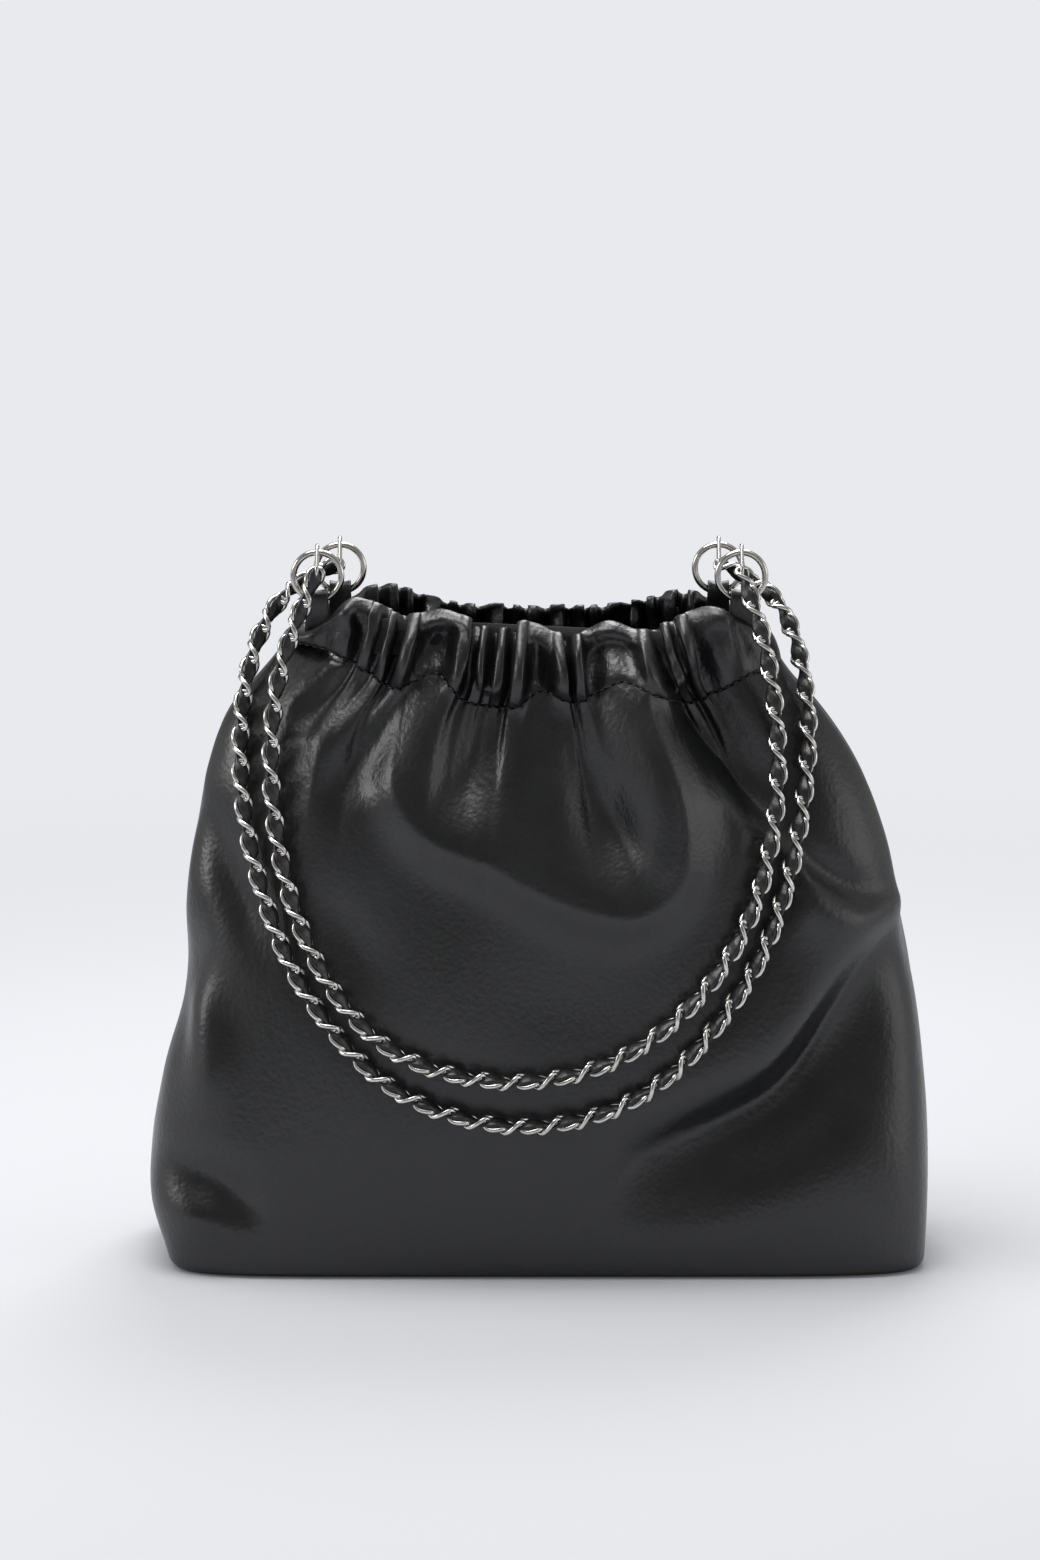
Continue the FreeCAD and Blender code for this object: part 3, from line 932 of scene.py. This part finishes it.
@dataclass
class StitchRow:
    """The row of dark thread that closes the channel."""

    casing: GatheredCasing
    thread: Material
    pitch: float = 4.0
    length: float = 3.0
    thick: float = 0.8
    proud: float = 0.35
    blunt: float = 0.02
    share: float = 0.015
    samples: int = 3000
    rows: int = 7
    sides: int = 6

    def build(self) -> None:
        """Lay one short capsule per stitch along the row: a lens-shaped tube on the surface."""
        angle = self.casing.form.columns(self.samples)
        line, _ = self.casing.ring(angle, np.full((1, 1), self.share), np.full((1, 1), self.proud))
        line = np.concatenate([line[0], line[0, :1]])
        run = run_along(line)
        count = int(run[-1] / self.pitch)
        middle = (np.arange(count)[:, None] + 0.5) * run[-1] / count
        along = np.linspace(-0.5, 0.5, self.rows)
        centre = read_along(middle + along * self.length, run, line)
        ahead = unit(np.gradient(centre, axis=1))
        up = unit(np.array([0.0, 0.0, 1.0]) - ahead * ahead[..., 2:])
        out = np.cross(ahead, up)
        turn = full_circle(self.sides)
        crown = (2.0 * along[:, None]) ** 2
        radius = 0.5 * self.thick * np.sqrt(np.clip(1.0 + self.blunt - crown, self.blunt, 1.0))
        points = carry(centre + out * self.proud * (1.0 - crown), up, out,
                       radius * np.cos(turn), radius * np.sin(turn))
        dress(grid_mesh("channel_stitches", points), self.thread, "bag", Slot.LEATHER)


@dataclass
class RingTab:
    """A folded leather strip that holds one ring at the end of the mouth."""

    place: str
    leather: Material
    width: float = 9.5
    wall: float = 1.5
    bell: float = 1.3
    eye_radius: float = 1.75
    pinched: float = 0.35
    pinch_end: float = 0.45
    foot_rise: float = 0.5
    foot_flare: float = 0.25
    squeeze: float = 0.25
    edge_powers: Pair = (0.35, 0.6)
    arch_rows: int = 13
    leg_rows: int = 9
    edge_sides: int = 16

    def build(self) -> None:
        """Build the strip as a band round the ring's foot: two legs and a half circle.

        Its edges open out by bell, so that the ring can lean.
        """
        node = f"tab_{self.place}"
        low, high = (np.array(corner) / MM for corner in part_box(node))
        middle = 0.5 * (low + high)
        eye = high[2] - self.eye_radius - self.wall
        spread = self.eye_radius + 0.5 * self.wall
        arch = np.linspace(0.0, np.pi, self.arch_rows + 2)[1:-1]
        legs = np.linspace(low[2] + self.foot_rise, eye, self.leg_rows)
        opening = smooth_step(self.pinch_end, 1.0, (legs - legs[0]) / (legs[-1] - legs[0]))
        leg = spread * (self.pinched + (1.0 - self.pinched) * opening)
        line = np.stack([np.concatenate([-leg, -spread * np.cos(arch), leg[::-1]]),
                         np.concatenate([legs, eye + spread * np.sin(arch), legs[::-1]])], -1)
        ahead = unit(np.gradient(line, axis=0))
        edge = full_circle(self.edge_sides)
        across = 0.5 * self.width * signed_power(np.cos(edge), self.edge_powers[0])
        deep = 0.5 * self.wall * signed_power(np.sin(edge), self.edge_powers[1])
        deep = deep + self.bell * (2.0 * across / self.width) ** 2
        flare = 1.0 + self.foot_flare * (1.0 - smooth_step(legs[0], eye, line[:, 1:]))
        points = np.stack([middle[0] + across * flare, middle[1] + line[:, :1] - ahead[:, 1:] * deep,
                           line[:, 1:] + ahead[:, :1] * deep], -1)
        piece = grid_mesh(f"ring_tab_{self.place}", points, flip=True,
                          marks={"squeeze": np.full(points.shape[:2], self.squeeze)})
        dress(piece, self.leather, "bag", Slot.LEATHER, node)


FRONT_ROUTE = (
    (-99, -19.16, 314.23), (-106, -25, 298), (-113, -30, 280), (-118.5, -34, 256), (-119.5, -43.5, 225),
    (-116, -51.5, 194), (-107.5, -58.5, 163), (-93, -64.5, 134), (-72, -68.5, 110), (-45, -70, 97),
    (-9, -70.5, 92), (27, -70.5, 99), (54, -69.5, 115), (77, -66.5, 138), (93, -61, 165), (101.5, -55, 194),
    (105.5, -46, 225), (104, -36, 256), (100, -30.5, 280), (95, -25, 298), (89.375, -19.16, 314.23),
)
BACK_ROUTE = (
    (-90, 8.84, 314.23), (-105, 6, 308), (-118, 0.5, 298), (-127, -8, 282), (-132.5, -21, 260),
    (-133.5, -36.5, 228), (-129, -47, 196), (-120.5, -55.5, 168), (-109, -62, 140), (-91, -66.5, 114),
    (-69.5, -69.5, 92), (-43, -70.5, 78.5), (-9, -71, 72), (27, -71, 77.5), (56.5, -70, 94), (80, -67.5, 120),
    (98.5, -62, 149), (109.5, -55.5, 180), (116, -46.5, 212), (119.5, -33, 243), (117.5, -18, 268),
    (113, -6, 286), (106, 1, 299), (94, 6, 308), (80.375, 8.84, 314.23),
)


@dataclass
class ChainStrap:
    """One strap of twisted wire links, in pairs, with a flat leather lace woven through them."""

    side: Side
    route: tuple[Point, ...]
    leather: Material
    metal: Material
    pair_pitch: float = 16.0
    wire: float = 2.2
    link_width: float = 9.2
    link_overlap: float = 0.2
    link_powers: Pair = (0.8, 0.86)
    lean: float = 1.3
    open_twist: float = 40.0
    standing_twist: float = 80.0
    low_twist: float = -10.0
    roll_most: Pair = (24.0, 40.0)
    lace_width: float = 6.0
    lace_narrowing: float = 0.20
    lace_thick: float = 1.8
    lace_proud: float = 0.9
    lace_weave: Pair = (1.0, 0.6)
    lace_squeeze: float = 0.3
    lace_powers: Pair = (0.55, 0.75)
    lace_gap: float = 0.4
    lace_rows: int = 14
    lace_sides: int = 12
    around_link: int = 28
    around_wire: int = 7
    route_steps: int = 16
    line: Array = field(init=False)
    run: Array = field(init=False)

    def __post_init__(self) -> None:
        """Read the strap's line, and the length along it, from its route's spline."""
        self.line = self.spline_points()
        self.run = run_along(self.line)

    def spline_points(self) -> Array:
        """Points of a smooth spline that has the route's points as its control points.

        Returns:
            The points in millimetres.
        """
        curve = bpy.data.curves.new("route", "CURVE")
        curve.dimensions = "3D"
        spline = curve.splines.new("NURBS")
        spline.points.add(len(self.route) - 1)
        for knot, place in zip(spline.points, self.route):
            knot.co = (*(MM * c for c in place), 1.0)
        spline.order_u = 3
        spline.use_endpoint_u = True
        spline.resolution_u = self.route_steps
        carrier = bpy.data.objects.new("route", curve)
        mesh = bpy.data.meshes.new_from_object(carrier)
        points = np.empty(3 * len(mesh.vertices))
        mesh.vertices.foreach_get("co", points)
        bpy.data.meshes.remove(mesh)
        bpy.data.curves.remove(curve)
        return points.reshape(-1, 3) / MM

    def place(self, at: Array) -> tuple[Array, Array, Array, Array]:
        """Point, forward, outward and sideways direction of the rolled strap at each length along it.

        Args:
            at: lengths along the line.

        Returns:
            Points and three unit directions.
        """
        point = read_along(at, self.run, self.line)
        way = unit(read_along(at, self.run, np.gradient(self.line, self.run, axis=0)))
        out = unit(np.array([0.0, -1.0, 0.0]) + way * way[..., 1:2])
        cross = np.cross(out, way)
        roll = np.radians(self.roll(at))[..., None]
        return (point, way, out * np.cos(roll) + cross * np.sin(roll),
                cross * np.cos(roll) - out * np.sin(roll))

    def lowness(self, at: Array) -> Array:
        """Share, 0 at the strap's ends and 1 at its lowest point, for each length along it."""
        return np.sin(np.pi * np.clip(at / self.run[-1], 0.0, 1.0)) ** 4

    def roll(self, at: Array) -> Array:
        """Degrees by which the chain is rolled about its own line, more where it hangs low."""
        return self.roll_most[0] + self.roll_most[1] * self.lowness(at)

    def link_points(self) -> Array:
        """Sweep a round wire along twisted ovals, two per pitch, bent with the strap.

        An oval runs half a pitch and half a wire each way along the strap. The
        first of a pair lies open in the rolled strap's plane, and the second
        stands across it, so its front wire crosses the lace aslant. Each turns
        from end to end about the strap's line and leans a little, so that it
        hooks into the next one.

        Returns:
            The points: links by points round the oval by points round the wire.
        """
        count = 2 * round(self.run[-1] / self.pair_pitch)
        pitch = self.run[-1] / count
        half = 0.5 * (pitch + self.wire - self.link_overlap)
        oval = full_circle(self.around_link)
        share = signed_power(np.cos(oval), self.link_powers[0])
        across = 0.5 * (self.link_width - self.wire) * signed_power(np.sin(oval), self.link_powers[1])
        number = np.arange(count)[:, None]
        middle = (number + 0.5) * pitch
        standing = number % 2
        upright = self.standing_twist + self.low_twist * self.lowness(middle)
        twist = np.where(standing, upright, self.open_twist)
        angle = np.radians(standing * (90.0 + self.roll(middle)) - twist * share)
        lift = self.lean * (2.0 * standing - 1.0) * share
        at = middle + half * share
        within = np.clip(at, 0.0, self.run[-1])
        point, way, out, cross = self.place(within)
        point = point + way * (at - within)[..., None]
        centre = point + cross * (across * np.cos(angle))[..., None]
        centre = centre + out * (lift + across * np.sin(angle))[..., None]
        ahead = unit(np.roll(centre, -1, 1) - np.roll(centre, 1, 1))
        first = unit(np.cross(ahead, centre - point.mean(1, keepdims=True)))
        turn = full_circle(self.around_wire)
        return carry(centre, first, np.cross(ahead, first), 0.5 * self.wire * np.cos(turn),
                     0.5 * self.wire * np.sin(turn))

    def lace_points(self) -> Array:
        """Carry a flat rounded strip along the strap, in front in open links and sunk in standing ones.

        Returns:
            The points: rows along the strap by points round the strip.
        """
        count = round(self.run[-1] / self.pair_pitch)
        at = np.linspace(self.lace_gap, self.run[-1] - self.lace_gap, count * self.lace_rows + 1)
        point, _, out, cross = self.place(at)
        wave = FULL_TURN * (at * count / self.run[-1] - 0.25)
        centre = point + out * (self.lace_proud + self.lace_weave[0] * np.cos(wave))[:, None]
        centre = centre + cross * (self.lace_weave[1] * np.sin(wave))[:, None]
        ahead = unit(np.gradient(centre, axis=0))
        broad = unit(cross - ahead * (cross * ahead).sum(-1, keepdims=True))
        turn = full_circle(self.lace_sides)
        width = self.lace_width * (1.0 - self.lace_narrowing * (1.0 - np.cos(wave)))
        flat = 0.5 * width[:, None] * signed_power(np.cos(turn), self.lace_powers[0])
        thick = 0.5 * self.lace_thick * signed_power(np.sin(turn), self.lace_powers[1])
        return carry(centre, broad, np.cross(ahead, broad), flat, thick)

    def build(self) -> None:
        """Build the lace and its links, both on the strap's own body."""
        body = f"{self.side.word}_strap"
        points = self.lace_points()
        squeeze = np.full(points.shape[:2], self.lace_squeeze)
        lace = grid_mesh(f"{body}_lace", points, marks={"squeeze": squeeze})
        dress(lace, self.leather, body, Slot.LEATHER, f"{self.side.word}_chain_strap")
        links = grid_mesh(f"{body}_links", self.link_points(), round_rows=True)
        dress(links, self.metal, body, Slot.CHAIN)


@dataclass
class Studio:
    """Pale floor, soft light from all round and the camera at the photograph's angle."""

    background: str = "e9eaee"
    paint: tuple[str, str] = ("c9cace", "cecfd3")
    frame_height: float = 0.7036
    distance: float = 2.06
    elevation: float = 10.0
    target: Point = (-0.009, 0.0, 0.2165)
    sensor: float = 36.0
    floor_size: float = 60.0
    floor_drop: float = 0.2
    fade: Pair = (0.28, 1.3)
    least_glow: float = 0.06
    side_light: float = 0.6
    side_power: float = 4.0
    tint: float = 1.015
    paint_mm: float = 1000.0 / 1.2
    # Sine of the elevation and light from there. The first two are the ramp's own ends.
    sky: Pairs = ((0.0, 0.36), (1.0, 1.3), (0.15, 0.24), (0.35, 0.17), (0.6, 0.18), (0.8, 0.4), (0.92, 1.1))
    # Name, place, width and power of each soft box.
    lamps: tuple[tuple[str, Point, float, float], ...] = (
        ("top_box", (-0.30, -0.10, 1.45), 0.9, 11.0),
        ("back_box", (0.15, 0.75, 1.25), 0.7, 10.0),
        ("left_box", (-1.3, -0.30, 0.75), 0.6, 4.0),
        ("right_box", (1.25, -0.45, 0.38), 0.9, 1.6),
    )
    lamp_aim: Point = (0.0, 0.0, 0.15)

    def build_floor(self) -> None:
        """Lay a large flat floor that keeps the bag's shadow and runs out into the backdrop.

        Near the bag it is matte paint with a little of the backdrop's own pale
        light, and along the fade it becomes the backdrop.
        """
        edge = np.array([-0.5, 0.5]) * self.floor_size / MM
        x, y = np.meshgrid(edge, edge)
        floor = grid_mesh("studio_floor", np.stack([x, y, np.full_like(x, -self.floor_drop)], -1),
                          round_columns=False)
        material, tree, place = bare_material("painted_studio_floor")
        cloud = add(tree, "TexNoise", {"Scale": per_metre(self.paint_mm), "Detail": 2.0}, {"Vector": place})
        colour = add(tree, "ValToRGB", links={"Fac": cloud},
                     stops=((0.3, linear(self.paint[0])), (0.7, linear(self.paint[1]))))
        paint = add(tree, "BsdfDiffuse", links={"Color": colour})
        glow = add(tree, "Emission", {"Color": linear(self.background), "Strength": 1.0})
        reach = add(tree, "VectorMath", links={0: place}, operation="LENGTH")
        fade = add(tree, "MapRange",
                   {"From Min": self.fade[0], "From Max": self.fade[1], "To Min": self.least_glow,
                    "To Max": 1.0},
                   {"Value": reach.outputs["Value"]}, interpolation_type="SMOOTHSTEP")
        path = add(tree, "LightPath")
        share = add(tree, "Math", operation="MULTIPLY", links={0: path.outputs["Is Camera Ray"], 1: fade})
        mixed = add(tree, "MixShader", links={0: share, 1: paint, 2: glow})
        add(tree, "OutputMaterial", links={"Surface": mixed})
        floor.data.materials.append(material)

    def build_world(self) -> None:
        """Light from all round: bright above and low down, pale at both sides, dim half way up.

        The camera sees the plain backdrop instead.
        """
        world = bpy.data.worlds.new("studio")
        bpy.context.scene.world = world
        world.use_nodes = True
        tree = world.node_tree
        tree.nodes.clear()
        way = add(tree, "TexCoord").outputs["Generated"]
        part = add(tree, "SeparateXYZ", links={"Vector": way})
        level = add(tree, "ValToRGB", links={"Fac": part.outputs["Z"]},
                    stops=tuple((sine, (tone, tone, self.tint * tone, 1.0)) for sine, tone in self.sky))
        aside = add(tree, "Math", {1: self.side_power}, {0: part.outputs["X"]}, operation="POWER")
        light = add(tree, "Math", {1: self.side_light}, {0: aside, 2: level}, operation="MULTIPLY_ADD")
        soft = add(tree, "Background", {"Strength": 1.0}, {"Color": light})
        backdrop = add(tree, "Background", {"Color": linear(self.background), "Strength": 1.0})
        path = add(tree, "LightPath")
        mixed = add(tree, "MixShader", links={0: path.outputs["Is Camera Ray"], 1: soft, 2: backdrop})
        add(tree, "OutputWorld", links={"Surface": mixed})

    def build_lamps(self) -> None:
        """Hang four round soft boxes, above, behind, to the left and to the right, all aimed at the bag."""
        for name, place, size, power in self.lamps:
            lamp = bpy.data.lights.new(name, "AREA")
            lamp.shape = "DISK"
            lamp.size = size
            lamp.energy = power
            holder = bpy.data.objects.new(name, lamp)
            holder.location = place
            aim = Vector(self.lamp_aim) - Vector(place)
            holder.rotation_euler = aim.to_track_quat("-Z", "Y").to_euler()
            bpy.context.scene.collection.objects.link(holder)

    def build_camera(self) -> None:
        """Set the camera so that the photograph's whole height covers frame_height at the bag's middle."""
        lens = bpy.data.cameras.new("camera")
        lens.sensor_fit = "VERTICAL"
        lens.sensor_height = self.sensor
        lens.lens = self.sensor * self.distance / self.frame_height
        holder = bpy.data.objects.new("camera", lens)
        tilt = math.radians(self.elevation)
        back = Vector((0.0, -math.cos(tilt), math.sin(tilt)))
        holder.location = Vector(self.target) + back * self.distance
        holder.rotation_euler = (-back).to_track_quat("-Z", "Y").to_euler()
        bpy.context.scene.collection.objects.link(holder)
        bpy.context.scene.camera = holder
        bpy.context.scene.view_settings.view_transform = "Standard"


def dress_nodes(finishes: dict[str, Material]) -> None:
    """Give each CAD node the finish of its record slot.

    Args:
        finishes: slot name to material.
    """
    for part in frame["record"]["subparts"]:
        materials = frame["nodes"][part["node"]].data.materials
        materials.clear()
        materials.append(finishes[part["material_slot"]])


def main() -> None:
    """Build the bag piece by piece, and the studio round it."""
    leather = NappaLeather().make()
    cloth = LiningCloth().make()
    nickel = PlatedMetal("polished_nickel_plate", "d9d6d0", "b5b1aa", (0.07, 0.16)).make()
    silver = PlatedMetal("bright_silver_plate", "e0dedb", "b9b6b2", (0.10, 0.22)).make()
    thread = FibreStock("waxed_black_thread", "0c0c0d", "26272a", 0.5, 0.55).make()
    webbing = FibreStock("black_knitted_elastic", "141416", "2a2b2e", 1.0, 0.8).make()
    board = FibreStock("grey_fibre_board", "4a4a4a", "5c5c5b", 1.5, 0.9).make()
    dress_nodes({"ring_metal": nickel, "chain_metal": silver, "board": board, "elastic": webbing,
                 "black_leather": leather, "lining_cloth": cloth})
    studio = Studio()
    studio.build_camera()
    routes = {Side.FRONT: FRONT_ROUTE, Side.BACK: BACK_ROUTE}
    straps = [ChainStrap(side, route, leather, silver) for side, route in routes.items()]
    for strap in straps:
        strap.build()
    form = BagForm(chain_lines=[strap.line for strap in straps])
    body = LeatherBody(form, leather, cloth)
    body.build()
    body.build_lining()
    casing = GatheredCasing(form, leather, webbing)
    casing.build()
    for side in Side:
        casing.build_elastic(side)
    StitchRow(casing, thread).build()
    for place in ("front_left", "front_right", "back_left", "back_right"):
        RingTab(place, leather).build()
    studio.build_floor()
    studio.build_world()
    studio.build_lamps()


if __name__ == "__main__":
    main()
